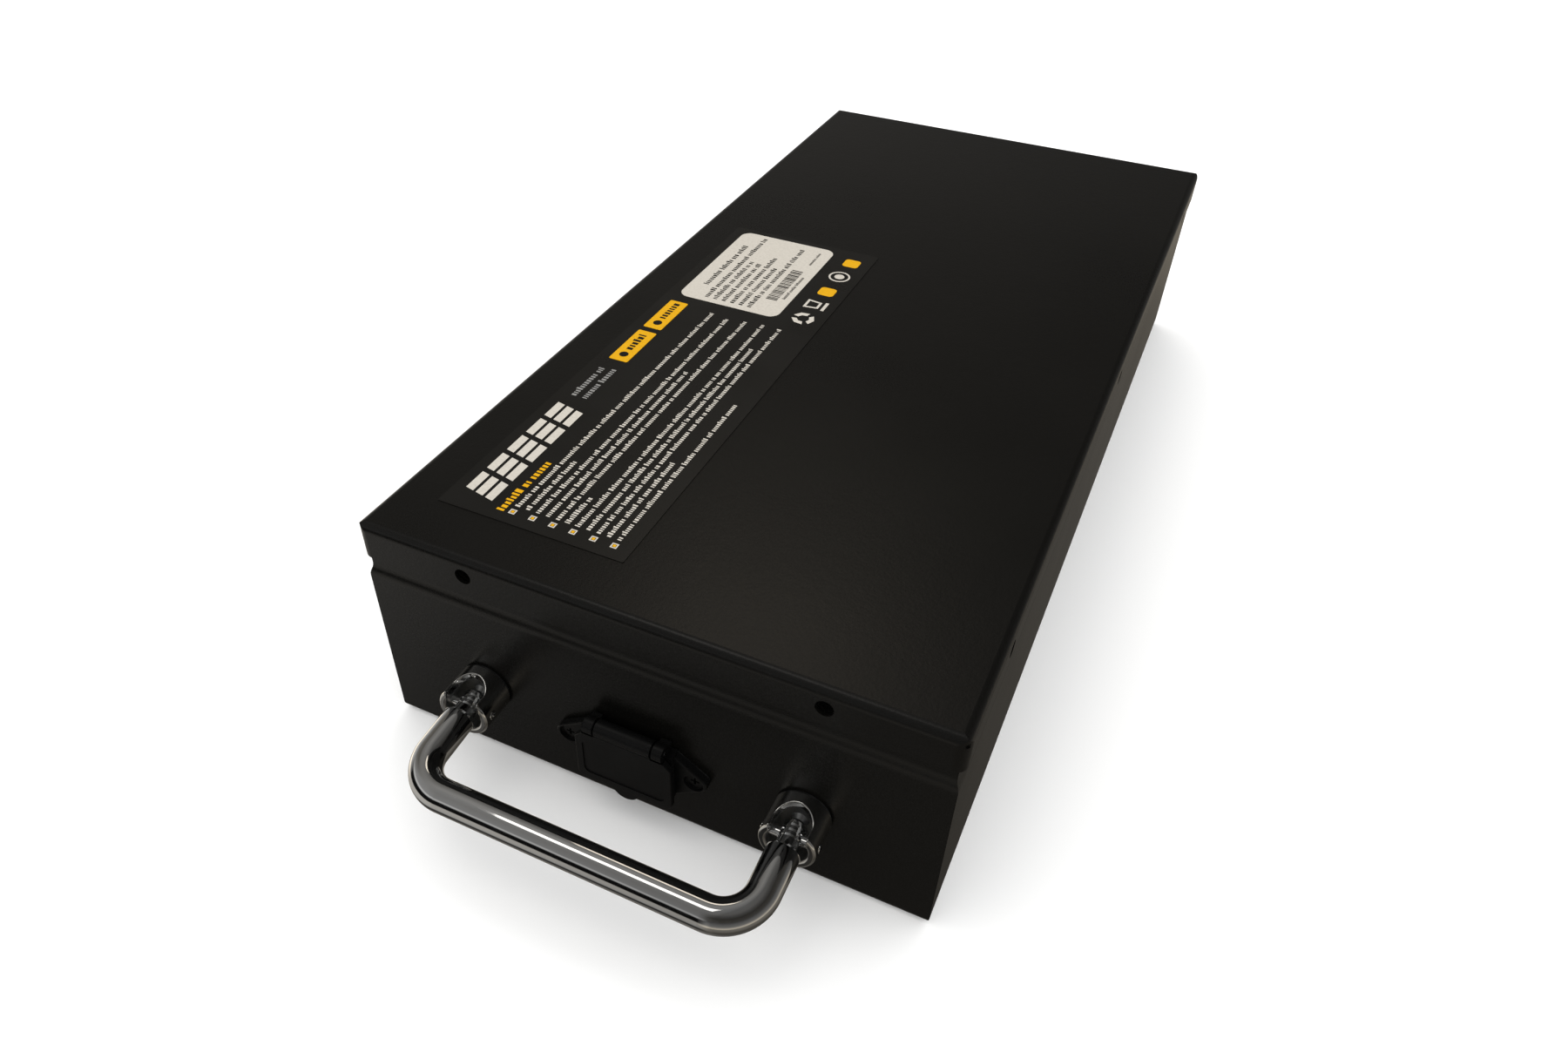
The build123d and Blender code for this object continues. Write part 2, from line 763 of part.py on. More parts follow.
def make_inlet_nuts():
    nuts = []
    for x in ear_places():
        nut = front_sketch_solid(Pos(x, inlet_z) * RegularPolygon(3.1, 6), -sheet - 2.4, -sheet)
        nuts.append(nut - cylinder_along_y(x, inlet_z, inlet_screw_radius, -sheet - 3, 0))
    return group(nuts)


# ---- Battery pack ----

def row_y(row):
    return pack_front + (row + 0.5) * cell_pitch


def cell_x(column):
    return (column - (cells_across - 1) / 2) * cell_pitch


def make_cell_row(row):
    """One parallel row of cells; alternate rows stand the other way up, so their caps alternate."""
    cap_up = row % 2 == 0
    cells = []
    for column in range(cells_across):
        can = Cylinder(cell_radius, cell_height)
        cap = Cylinder(cell_radius * 0.45, 0.5)
        ring = Cylinder(cell_radius * 0.72, 0.5) - Cylinder(cell_radius * 0.5, 0.5)
        end = 1 if cap_up else -1
        can -= Pos(0, 0, end * (cell_height / 2 - 0.25)) * ring
        can -= Pos(0, 0, -end * (cell_height / 2)) * Cylinder(cell_radius * 0.8, 0.4)
        cell = can + Pos(0, 0, end * (cell_height / 2 - 0.25)) * cap
        cells.append(Pos(cell_x(column), row_y(row), cell_bottom + cell_height / 2) * cell)
    return group(cells)


def make_cell_holder(bottom, web_at_bottom):
    """A moulded plate with a pocket for each cell and a web that laps over the cell's end."""
    plate = Rectangle(pack_width + 2 * holder_margin, pack_length + 2 * holder_margin)
    centres = [Location((cell_x(c), row_y(r))) for c in range(cells_across) for r in range(cell_rows)]
    plate = Pos(0, pack_centre_y) * plate
    pockets = plate - [centre * Circle(cell_radius + 0.1) for centre in centres]
    windows = plate - [centre * Circle(holder_web_hole_radius) for centre in centres]
    pocket_bottom = bottom + (holder_web if web_at_bottom else 0)
    web_bottom = bottom if web_at_bottom else bottom + holder_height
    body = extrude(Plane.XY.offset(pocket_bottom) * pockets, holder_height)
    web = extrude(Plane.XY.offset(web_bottom) * windows, holder_web)
    return body + web


def strip_spans(top):
    """First and last row of each strip. A top strip bridges an even pair, a bottom strip an odd one."""
    if top:
        return [(row, row + 1) for row in range(0, cell_rows, 2)]
    bridges = [(row, row + 1) for row in range(1, cell_rows - 1, 2)]
    return [(0, 0)] + bridges + [(cell_rows - 1, cell_rows - 1)]


def make_strips(bottom, top):
    strips = []
    for first, last in strip_spans(top):
        width = pack_width - 3.0
        length = (last - first + 1) * cell_pitch - 3.0
        middle = (row_y(first) + row_y(last)) / 2
        plate = Pos(0, middle) * RectangleRounded(width, length, 1.5)
        for row in range(first, last + 1):
            for column in range(cells_across):
                plate -= Pos(cell_x(column), row_y(row)) * Rectangle(1.2, 7.0)
        strips.append(extrude(Plane.XY.offset(bottom) * plate, strip_thickness))
    return group(strips)


def pack_sheet(bottom, thickness):
    outline = Pos(0, pack_centre_y) * Rectangle(pack_width, pack_length)
    return extrude(Plane.XY.offset(bottom) * outline, thickness)


def make_bottom_pad():
    return pack_sheet(sheet, strip_bottom - sheet)


def make_top_sheet():
    return pack_sheet(strip_top + strip_thickness, top_sheet_thickness)


def make_top_pads():
    """Foam blocks that hold the pack down under the cover, clear of the leads."""
    bottom = strip_top + strip_thickness + top_sheet_thickness
    pads = []
    for step in (-1.5, -0.5, 0.5, 1.5):
        y = pack_centre_y + step * 75
        pads.append(block(-40, 60, y - 12, y + 12, bottom, lid_underside - assembly_gap))
    return group(pads)


def make_side_pads():
    """Foam blocks that take up the room between the pack and the walls at the sides and the back."""
    bottom = 8.0
    top = tray_shoulder_height - 2.0
    holder_half_width = pack_width / 2 + holder_margin
    pads = []
    for side in (-1, 1):
        x0, x1 = sorted((side * holder_half_width, side * tray_inner_half_width))
        for step in (-1, 0, 1):
            y = pack_centre_y + step * pack_length * 0.36
            pads.append(block(x0, x1, y - 20, y + 20, bottom, top))
    holder_back = pack_centre_y + pack_length / 2 + holder_margin
    for x in (-45, 45):
        pads.append(block(x - 15, x + 15, holder_back, tray_inner_half_length, bottom, top))
    return group(pads)


# ---- Protection board, fuse and wiring ----

def board_fixings():
    edge = board_width / 2 - board_hole_margin
    heights = (board_bottom + board_hole_margin, board_bottom + board_height - board_hole_margin)
    return [(x, z) for x in (-edge, edge) for z in heights]


def make_board():
    half = board_width / 2
    board = block(-half, half, board_front, board_back, board_bottom, board_bottom + board_height)
    for x, z in board_fixings():
        board -= Pos(x, board_y, z) * Rot(90, 0, 0) * Cylinder(board_hole_radius, 2 * board_thickness)
    return board


def make_barrier_plate():
    """Insulating plate between the board and the first row of cells."""
    y1 = barrier_front + barrier_thickness
    return block(-pack_width / 2, pack_width / 2, barrier_front, y1, cell_bottom, cell_top)


def make_board_spacers():
    middle = (board_back + barrier_front) / 2
    spacer = Rot(90, 0, 0) * Cylinder(board_spacer_radius, barrier_front - board_back)
    return group(Pos(x, middle, z) * spacer for x, z in board_fixings())


def make_transistors():
    width, depth, height = transistor_size
    transistors = []
    for index in range(transistor_count):
        left = (index - (transistor_count - 1) / 2) * transistor_pitch - width / 2
        top = transistor_bottom + height
        transistors.append(
            block(left, left + width, board_front - depth, board_front, transistor_bottom, top)
        )
    return group(transistors)


def make_heat_plate():
    """Finned aluminium bar that lies along the board's row of transistors."""
    half = heat_plate_half_length
    back = board_front - transistor_size[1]
    front = back - heat_plate_thickness
    plate = block(-half, half, front, back, heat_plate_bottom, heat_plate_bottom + heat_plate_height)
    for fin in range(heat_fin_count):
        z = heat_plate_bottom + fin * heat_fin_pitch
        plate += block(-half, half, front - heat_fin_depth, front, z, z + heat_fin_thickness)
    return plate


def make_balance_connector():
    front = board_front - connector_depth
    top = connector_bottom + connector_height
    shell = block(connector_left, connector_right, front, board_front, connector_bottom, top)
    inside = block(
        connector_left + connector_wall,
        connector_right - connector_wall,
        front - 1,
        board_front - connector_wall,
        connector_bottom + connector_wall,
        top - connector_wall,
    )
    return shell - inside


def fuse_y():
    return barrier_front - fuse_body[1] / 2


def make_fuse():
    """Bolt-down fuse on the barrier plate: a ceramic body with a tab at each end."""
    centre = Pos(fuse_x, fuse_y(), fuse_height)
    fuse = centre * Box(*fuse_body) + centre * Box(*fuse_tab)
    for rise in (-fuse_hole_spacing / 2, fuse_hole_spacing / 2):
        fuse -= centre * Pos(0, 0, rise) * Rot(90, 0, 0) * Cylinder(fuse_hole_radius, 4)
    return fuse


def wire(points, bend_radius, radius):
    """A round wire along straight runs joined by tangent arcs."""
    path = FilletPolyline(*points, radius=bend_radius)
    start = Plane(origin=path @ 0, z_dir=path % 0)
    return sweep(start * Circle(radius), path=path)


def make_positive_lead():
    """From the last row's strip, forward along the pack's right side and down to the fuse."""
    back = row_y(cell_rows - 1)
    tab_top = fuse_height + fuse_tab[2] / 2
    points = [
        (45, back, lead_height),
        (fuse_x, back, lead_height),
        (fuse_x, fuse_y(), lead_height),
        (fuse_x, fuse_y(), tab_top),
    ]
    return wire(points, 6, lead_radius)


def make_negative_lead():
    """From the first row's strip, over the barrier plate and down to the back of the board."""
    x = connector_left
    y = (board_back + barrier_front) / 2
    points = [(x, row_y(1), lead_height), (x, y, lead_height), (x, y, 44), (x, board_back, 44)]
    return wire(points, 3, lead_radius)


def make_inlet_leads():
    """From the inlet's two outer contacts straight back to the board."""
    start = front_face + inlet_shell_depth + 3.0
    leads = []
    for x in (inlet_x - blade_spacing, inlet_x + blade_spacing):
        middle = (start + board_front) / 2
        lead = Cylinder(sense_lead_radius, board_front - start)
        leads.append(Pos(x, middle, inlet_z + 1.0) * Rot(90, 0, 0) * lead)
    return group(leads)


def make_balance_harness():
    """Bundle of sense leads from the connector's end, up past the board and back over the pack."""
    y = board_front - connector_depth / 2
    x = connector_left - 9
    z = connector_bottom + connector_height / 2
    points = [(connector_left, y, z), (x, y, z), (x, y, lead_height), (x, row_y(2), lead_height)]
    return wire(points, 4, sense_lead_radius)


nodes = {
    "tray": make_tray,
    "clinch_nuts": make_clinch_nuts,
    "lid": make_lid,
    "lid_gasket": make_lid_gasket,
    "label_film": make_label_film,
    "data_plate": make_data_plate,
    "capacity_tags": make_capacity_tags,
    "handle_bar": make_handle_bar,
    "handle_pivot_pins": make_pivot_pins,
    "handle_post_feet": make_post_feet,
    "handle_post_washers": make_post_washers,
    "handle_post_screws": make_post_screws,
    "inlet_frame": make_inlet_frame,
    "inlet_gasket": make_inlet_gasket,
    "inlet_contacts": make_inlet_contacts,
    "inlet_flap": make_inlet_flap,
    "inlet_flap_seal": make_flap_seal,
    "inlet_hinge_pin": make_hinge_pin,
    "inlet_flap_spring": make_flap_spring,
    "inlet_screws": make_inlet_screws,
    "inlet_nuts": make_inlet_nuts,
    "cell_holder_lower": lambda: make_cell_holder(cell_bottom - holder_web, True),
    "cell_holder_upper": lambda: make_cell_holder(cell_top - holder_height, False),
    "cell_strips_bottom": lambda: make_strips(strip_bottom, False),
    "cell_strips_top": lambda: make_strips(strip_top, True),
    "pack_bottom_pad": make_bottom_pad,
    "pack_top_sheet": make_top_sheet,
    "pack_top_pads": make_top_pads,
    "pack_side_pads": make_side_pads,
    "board": make_board,
    "board_barrier": make_barrier_plate,
    "board_spacers": make_board_spacers,
    "board_transistors": make_transistors,
    "board_heat_plate": make_heat_plate,
    "balance_connector": make_balance_connector,
    "main_fuse": make_fuse,
    "positive_lead": make_positive_lead,
    "negative_lead": make_negative_lead,
    "inlet_leads": make_inlet_leads,
    "balance_harness": make_balance_harness,
}
for side, post_x in handle_post_places():
    nodes["handle_post_" + side] = lambda x=post_x: make_handle_post(x)
for index in range(cell_rows):
    nodes[f"cell_row_{index + 1:02d}"] = lambda row=index: make_cell_row(row)

os.makedirs("parts", exist_ok=True)
for name, make in nodes.items():
    export_step(make(), "parts/" + name + ".step")
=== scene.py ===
"""Looks for the battery box: materials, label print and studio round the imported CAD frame."""

import bmesh
import bpy
import json
import math
import random
from mathutils import Matrix, Vector


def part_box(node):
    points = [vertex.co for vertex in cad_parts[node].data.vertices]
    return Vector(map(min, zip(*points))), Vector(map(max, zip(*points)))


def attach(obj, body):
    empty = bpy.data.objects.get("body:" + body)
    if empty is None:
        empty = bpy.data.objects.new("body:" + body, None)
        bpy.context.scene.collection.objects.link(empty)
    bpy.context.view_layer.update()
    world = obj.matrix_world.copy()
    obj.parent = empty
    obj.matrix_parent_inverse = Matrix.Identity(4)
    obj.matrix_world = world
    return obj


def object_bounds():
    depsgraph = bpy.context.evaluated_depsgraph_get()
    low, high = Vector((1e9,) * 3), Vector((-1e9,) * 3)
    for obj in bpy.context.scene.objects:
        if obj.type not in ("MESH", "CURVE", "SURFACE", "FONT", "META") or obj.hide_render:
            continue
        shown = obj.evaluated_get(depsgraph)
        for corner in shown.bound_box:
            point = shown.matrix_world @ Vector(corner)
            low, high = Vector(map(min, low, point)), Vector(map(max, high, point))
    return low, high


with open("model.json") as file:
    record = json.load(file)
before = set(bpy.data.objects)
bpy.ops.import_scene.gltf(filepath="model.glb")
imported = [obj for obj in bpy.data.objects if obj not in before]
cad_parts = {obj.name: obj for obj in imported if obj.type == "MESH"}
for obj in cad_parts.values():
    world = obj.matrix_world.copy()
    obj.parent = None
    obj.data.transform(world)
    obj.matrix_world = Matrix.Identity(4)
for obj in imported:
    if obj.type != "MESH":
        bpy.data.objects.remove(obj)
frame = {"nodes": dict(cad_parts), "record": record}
cad_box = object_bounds()

MM = 0.001
nodes = frame["nodes"]
random.seed(7)

# ---------------------------------------------------------------- camera

# Place from the base's centre, then turns in degrees: left of straight back, down, and roll.
CAMERA_PLACE = Vector((106.6, -351.5, 274.7)) * MM
CAMERA_YAW = 24.77
CAMERA_DOWN = 39.95
CAMERA_ROLL = 1.07
SENSOR = 36.0
FOCAL_TO_WIDTH = 0.7094
SHIFT_X = 0.030
SHIFT_Y = 0.0027


def turn(degrees, axis):
    """A rotation about one axis."""
    return Matrix.Rotation(math.radians(degrees), 4, axis)


def make_camera():
    data = bpy.data.cameras.new("camera")
    data.sensor_width = SENSOR
    data.lens = SENSOR * FOCAL_TO_WIDTH
    data.shift_x = SHIFT_X
    data.shift_y = SHIFT_Y
    data.clip_start = 0.01
    data.clip_end = 50
    camera = bpy.data.objects.new("camera", data)
    aim = turn(CAMERA_YAW, "Z") @ turn(90 - CAMERA_DOWN, "X") @ turn(CAMERA_ROLL, "Z")
    camera.matrix_world = Matrix.Translation(CAMERA_PLACE) @ aim
    bpy.context.scene.collection.objects.link(camera)
    bpy.context.scene.camera = camera


make_camera()

# ---------------------------------------------------------------- material tools


def map_range(tree, value, low, high, to_low=0.0, to_high=1.0):
    """Maps a socket's range onto another range, clamped."""
    node = tree.nodes.new("ShaderNodeMapRange")
    tree.links.new(value, node.inputs["Value"])
    node.inputs["From Min"].default_value = low
    node.inputs["From Max"].default_value = high
    node.inputs["To Min"].default_value = to_low
    node.inputs["To Max"].default_value = to_high
    return node.outputs["Result"]


def colour_sockets(sockets):
    """A mix node has sockets for every data type; these are the ones for colours."""
    return [socket for socket in sockets if socket.type == "RGBA"]


class Recipe:
    """A new material with short calls for the shader nodes that this scene uses."""

    def __init__(self, name, colour, roughness, metallic=0.0, specular=0.5):
        self.material = bpy.data.materials.new(name)
        self.material.use_nodes = True
        self.tree = self.material.node_tree
        self.shader = self.tree.nodes["Principled BSDF"]
        self.shader.inputs["Base Color"].default_value = (*colour, 1)
        self.shader.inputs["Roughness"].default_value = roughness
        self.shader.inputs["Metallic"].default_value = metallic
        self.shader.inputs["Specular IOR Level"].default_value = specular
        self.place = self.add("ShaderNodeTexCoord").outputs["Object"]

    def add(self, kind, **settings):
        node = self.tree.nodes.new(kind)
        for key, value in settings.items():
            setattr(node, key, value)
        return node

    def link(self, out, into):
        self.tree.links.new(out, into)

    def stretch(self, x, y, z):
        """Object coordinates stretched along the axes, for brushed and drawn surfaces."""
        mapping = self.add("ShaderNodeMapping")
        self.link(self.place, mapping.inputs["Vector"])
        mapping.inputs["Scale"].default_value = (x, y, z)
        return mapping.outputs["Vector"]

    def noise(self, size, detail=2.0, roughness=0.5, vector=None):
        """Fractal noise whose largest feature is about size metres."""
        node = self.add("ShaderNodeTexNoise")
        self.link(vector or self.place, node.inputs["Vector"])
        node.inputs["Scale"].default_value = 1 / size
        node.inputs["Detail"].default_value = detail
        node.inputs["Roughness"].default_value = roughness
        return node.outputs["Fac"]

    def cells(self, size, feature="F1"):
        """Distance in a Voronoi pattern whose cells are about size metres across."""
        node = self.add("ShaderNodeTexVoronoi", feature=feature)
        self.link(self.place, node.inputs["Vector"])
        node.inputs["Scale"].default_value = 1 / size
        return node.outputs["Distance"]

    def band(self, value, low, high, to_low=0.0, to_high=1.0):
        return map_range(self.tree, value, low, high, to_low, to_high)

    def total(self, first, second):
        node = self.add("ShaderNodeMath", operation="ADD")
        self.link(first, node.inputs[0])
        self.link(second, node.inputs[1])
        return node.outputs["Value"]

    def mix(self, factor, first, second):
        """A colour between two colours, each given as a tuple or a socket."""
        node = self.add("ShaderNodeMix", data_type="RGBA")
        self.link(factor, node.inputs["Factor"])
        for socket, value in zip(colour_sockets(node.inputs), (first, second)):
            if isinstance(value, tuple):
                socket.default_value = (*value, 1)
            else:
                self.link(value, socket)
        return colour_sockets(node.outputs)[0]

    def colour(self, out):
        self.link(out, self.shader.inputs["Base Color"])

    def rough(self, out):
        self.link(out, self.shader.inputs["Roughness"])

    def bump(self, height, strength, distance):
        """Adds relief of about distance metres on top of any relief that is there already."""
        node = self.add("ShaderNodeBump")
        self.link(height, node.inputs["Height"])
        node.inputs["Strength"].default_value = strength
        node.inputs["Distance"].default_value = distance
        if self.shader.inputs["Normal"].is_linked:
            self.link(self.shader.inputs["Normal"].links[0].from_socket, node.inputs["Normal"])
        self.link(node.outputs["Normal"], self.shader.inputs["Normal"])


def powder_coat():
    """Fine-texture black powder coat: a sandy orange peel, faint dust and dull patches."""
    r = Recipe("black_powder_coat", (0.002, 0.002, 0.0018), 0.3, specular=0.35)
    patches = r.noise(0.09, 3)
    speckle = r.noise(0.0005, 2, 0.6)
    tone = r.mix(r.band(patches, 0.3, 0.7), (0.0015, 0.0014, 0.0011), (0.0023, 0.0021, 0.0016))
    r.colour(r.mix(r.band(speckle, 0.62, 0.78, 0, 0.2), tone, (0.012, 0.012, 0.011)))
    r.rough(r.total(r.band(patches, 0.3, 0.7, 0.25, 0.31), r.band(speckle, 0.3, 0.8, 0, 0.08)))
    r.bump(r.noise(0.0009, 2, 0.5), 0.45, 0.00007)
    r.bump(r.noise(0.0035, 2, 0.4), 0.12, 0.0002)
    return r.material


def chrome():
    """Bright chrome plate with the slight waviness and fine scuffs of a polished steel rod."""
    r = Recipe("chrome_plate", (0.74, 0.75, 0.76), 0.06, metallic=1.0)
    scuffs = r.noise(0.0016, 4, 0.65, vector=r.stretch(0.25, 1, 1))
    r.rough(r.band(scuffs, 0.55, 0.8, 0.045, 0.16))
    r.bump(r.noise(0.012, 2), 0.05, 0.0006)
    r.bump(scuffs, 0.02, 0.00005)
    return r.material


POST_BORE_RADIUS = 5.9 * MM
BORE_EDGE = (POST_BORE_RADIUS + 0.1 * MM, POST_BORE_RADIUS + 0.5 * MM)


def post_chrome(post):
    """The same plate on a handle post, rougher inside the bore where polishing doesn't reach, and
    darker there with painted shade.
    """
    r = Recipe("post_chrome", (0.74, 0.75, 0.76), 0.08, metallic=1.0)
    low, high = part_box(post)
    to_local = nodes[post].matrix_world.inverted()
    axis = to_local @ ((low + high) / 2)
    offset = r.add("ShaderNodeVectorMath", operation="SUBTRACT")
    r.link(r.place, offset.inputs[0])
    offset.inputs[1].default_value = axis
    flat = r.add("ShaderNodeVectorMath", operation="MULTIPLY")
    r.link(offset.outputs["Vector"], flat.inputs[0])
    flat.inputs[1].default_value = (1, 0, 1)
    length = r.add("ShaderNodeVectorMath", operation="LENGTH")
    r.link(flat.outputs["Vector"], length.inputs[0])
    inside = r.band(length.outputs["Value"], *BORE_EDGE, 1, 0)
    # Inside the bore the base colour is darker: painted shade in the hollow.
    r.colour(r.mix(inside, (0.74, 0.74, 0.73), (0.42, 0.42, 0.41)))
    scuffs = r.noise(0.0016, 4, 0.65)
    r.rough(r.total(r.band(scuffs, 0.5, 0.8, 0.05, 0.14), r.band(inside, 0, 1, 0, 0.3)))
    r.bump(scuffs, 0.03, 0.00005)
    return r.material


def zinc():
    """Galvanised steel with soft spangles."""
    r = Recipe("zinc_plate", (0.55, 0.56, 0.56), 0.35, metallic=1.0)
    spangle = r.cells(0.0022)
    r.colour(r.mix(r.band(spangle, 0, 0.9), (0.62, 0.63, 0.63), (0.46, 0.47, 0.48)))
    r.rough(r.band(r.noise(0.0012, 3), 0.3, 0.7, 0.28, 0.46))
    r.bump(r.noise(0.0006, 2), 0.1, 0.00004)
    return r.material


def moulded(name, colour, roughness, grain=0.0004, depth=0.5, specular=0.4):
    """Spark-textured moulded plastic with slightly shinier worn high spots."""
    r = Recipe(name, colour, roughness, specular=specular)
    lighter = tuple(min(1, c * 1.3 + 0.0005) for c in colour)
    r.colour(r.mix(r.band(r.noise(0.012, 3), 0.35, 0.7), colour, lighter))
    r.rough(r.band(r.noise(0.004, 3), 0.3, 0.7, roughness - 0.05, roughness + 0.07))
    r.bump(r.noise(grain, 2, 0.6), depth, 0.00004)
    return r.material


def rubber(name, colour, roughness=0.75):
    """Rubber, or a lead's soft insulation, with a dusty bloom."""
    r = Recipe(name, colour, roughness, specular=0.25)
    lighter = tuple(c * 1.6 + 0.004 for c in colour)
    r.colour(r.mix(r.band(r.noise(0.003, 4), 0.45, 0.75), colour, lighter))
    r.bump(r.noise(0.0007, 3), 0.3, 0.00008)
    return r.material


def foam(name, colour):
    """Open foam whose pores are darkened with painted shade."""
    r = Recipe(name, colour, 0.95, specular=0.1)
    pores = r.cells(0.0007)
    darker = tuple(c * 0.35 for c in colour)
    # The pores are darkened: painted shade in the holes.
    r.colour(r.mix(r.band(pores, 0.1, 0.6), darker, colour))
    r.bump(pores, 0.8, 0.0002)
    return r.material


def label_film():
    """Satin polyester film: smoother than the paint, with faint cling marks."""
    r = Recipe("label_film", (0.0042, 0.0039, 0.0032), 0.3, specular=0.4)
    r.rough(r.band(r.noise(0.02, 3), 0.3, 0.7, 0.26, 0.36))
    r.bump(r.noise(0.006, 2), 0.05, 0.0003)
    r.bump(r.noise(0.0007, 2), 0.08, 0.00003)
    return r.material


def ink(name, colour, roughness=0.4, specular=0.4):
    """Printed ink or sticker face, with the slight mottle of a screen print."""
    r = Recipe(name, colour, roughness, specular=specular)
    darker = tuple(c * 0.88 for c in colour)
    r.colour(r.mix(r.band(r.noise(0.0009, 3), 0.4, 0.75), colour, darker))
    r.bump(r.noise(0.0005, 2), 0.08, 0.00003)
    return r.material


def plated(name, colour, roughness):
    """Drawn or rolled metal with fine lines along its length."""
    r = Recipe(name, colour, roughness, metallic=1.0)
    drawn = r.noise(0.0006, 3, 0.6, vector=r.stretch(1, 0.12, 1))
    r.rough(r.band(drawn, 0.3, 0.7, roughness - 0.08, roughness + 0.12))
    r.bump(drawn, 0.15, 0.00003)
    return r.material


def cell_wrap():
    """Shrink sleeve over a cell, slightly wrinkled."""
    r = Recipe("cell_wrap", (0.03, 0.17, 0.32), 0.3)
    r.colour(r.mix(r.band(r.noise(0.01, 3), 0.35, 0.7), (0.025, 0.15, 0.29), (0.04, 0.21, 0.38)))
    r.rough(r.band(r.noise(0.003, 3), 0.3, 0.7, 0.24, 0.4))
    r.bump(r.noise(0.0025, 2), 0.15, 0.0001)
    return r.material


def paper(name, colour):
    """Fibrous insulating paper."""
    r = Recipe(name, colour, 0.8, specular=0.2)
    fibre = r.noise(0.0008, 4, 0.7, vector=r.stretch(1, 0.3, 1))
    darker = tuple(c * 0.7 for c in colour)
    r.colour(r.mix(r.band(fibre, 0.35, 0.7), darker, colour))
    r.bump(fibre, 0.25, 0.00006)
    return r.material


def circuit_board():
    """Green solder mask with the slightly raised copper tracks under it."""
    r = Recipe("green_board", (0.01, 0.11, 0.04), 0.3)
    tracks = r.cells(0.006, "DISTANCE_TO_EDGE")
    mask = r.band(tracks, 0.05, 0.09)
    r.colour(r.mix(mask, (0.03, 0.2, 0.08), (0.008, 0.09, 0.035)))
    r.bump(mask, 0.4, 0.00008)
    return r.material


MATERIALS = {
    "black_powder_coat": powder_coat(),
    "chrome_plate": chrome(),
    "zinc_plate": zinc(),
    "black_plastic": moulded("black_plastic", (0.0015, 0.0015, 0.0015), 0.42, specular=0.22),
    "black_rubber": rubber("black_rubber", (0.006, 0.006, 0.006)),
    "tinned_brass": plated("tinned_brass", (0.72, 0.62, 0.4), 0.28),
    "black_screw": plated("black_screw", (0.04, 0.04, 0.04), 0.35),
    "holder_plastic": moulded("holder_plastic", (0.02, 0.02, 0.021), 0.5),
    "cell_wrap": cell_wrap(),
    "nickel": plated("nickel", (0.63, 0.6, 0.54), 0.3),
    "grey_foam": foam("grey_foam", (0.09, 0.09, 0.09)),
    "black_foam": foam("black_foam", (0.02, 0.02, 0.02)),
    "barrier_paper": paper("barrier_paper", (0.10, 0.22, 0.13)),
    "barrier_board": moulded("barrier_board", (0.50, 0.46, 0.26), 0.45, 0.001, 0.3),
    "green_board": circuit_board(),
    "nylon": moulded("nylon", (0.70, 0.69, 0.64), 0.4),
    "black_epoxy": moulded("black_epoxy", (0.014, 0.014, 0.014), 0.55),
    "black_aluminium": plated("black_aluminium", (0.05, 0.05, 0.055), 0.42),
    "white_plastic": moulded("white_plastic", (0.72, 0.70, 0.63), 0.4),
    "ceramic_white": moulded("ceramic_white", (0.74, 0.72, 0.66), 0.7, 0.0008, 0.3),
    "red_lead": rubber("red_lead", (0.35, 0.012, 0.01), 0.45),
    "black_lead": rubber("black_lead", (0.012, 0.012, 0.012), 0.45),
    "label_film": label_film(),
    "print_white": ink("print_white", (0.50, 0.465, 0.405)),
    "print_yellow": ink("print_yellow", (0.60, 0.31, 0.001), specular=0.06),
    "print_grey": ink("print_grey", (0.22, 0.215, 0.205)),
}


def dress(obj, slot):
    obj.data.materials.clear()
    obj.data.materials.append(MATERIALS[slot])


for part in frame["record"]["subparts"]:
    dress(nodes[part["node"]], part["material_slot"])
for post in ("handle_post_left", "handle_post_right"):
    nodes[post].data.materials[0] = post_chrome(post)

# ---------------------------------------------------------------- label print

FILM_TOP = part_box("label_film")[1].z
PLATE_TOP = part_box("data_plate")[1].z
TAG_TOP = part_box("capacity_tags")[1].z
INK = 0.03 * MM
ROUND_SIDES = 40
CORNER_STEPS = 4


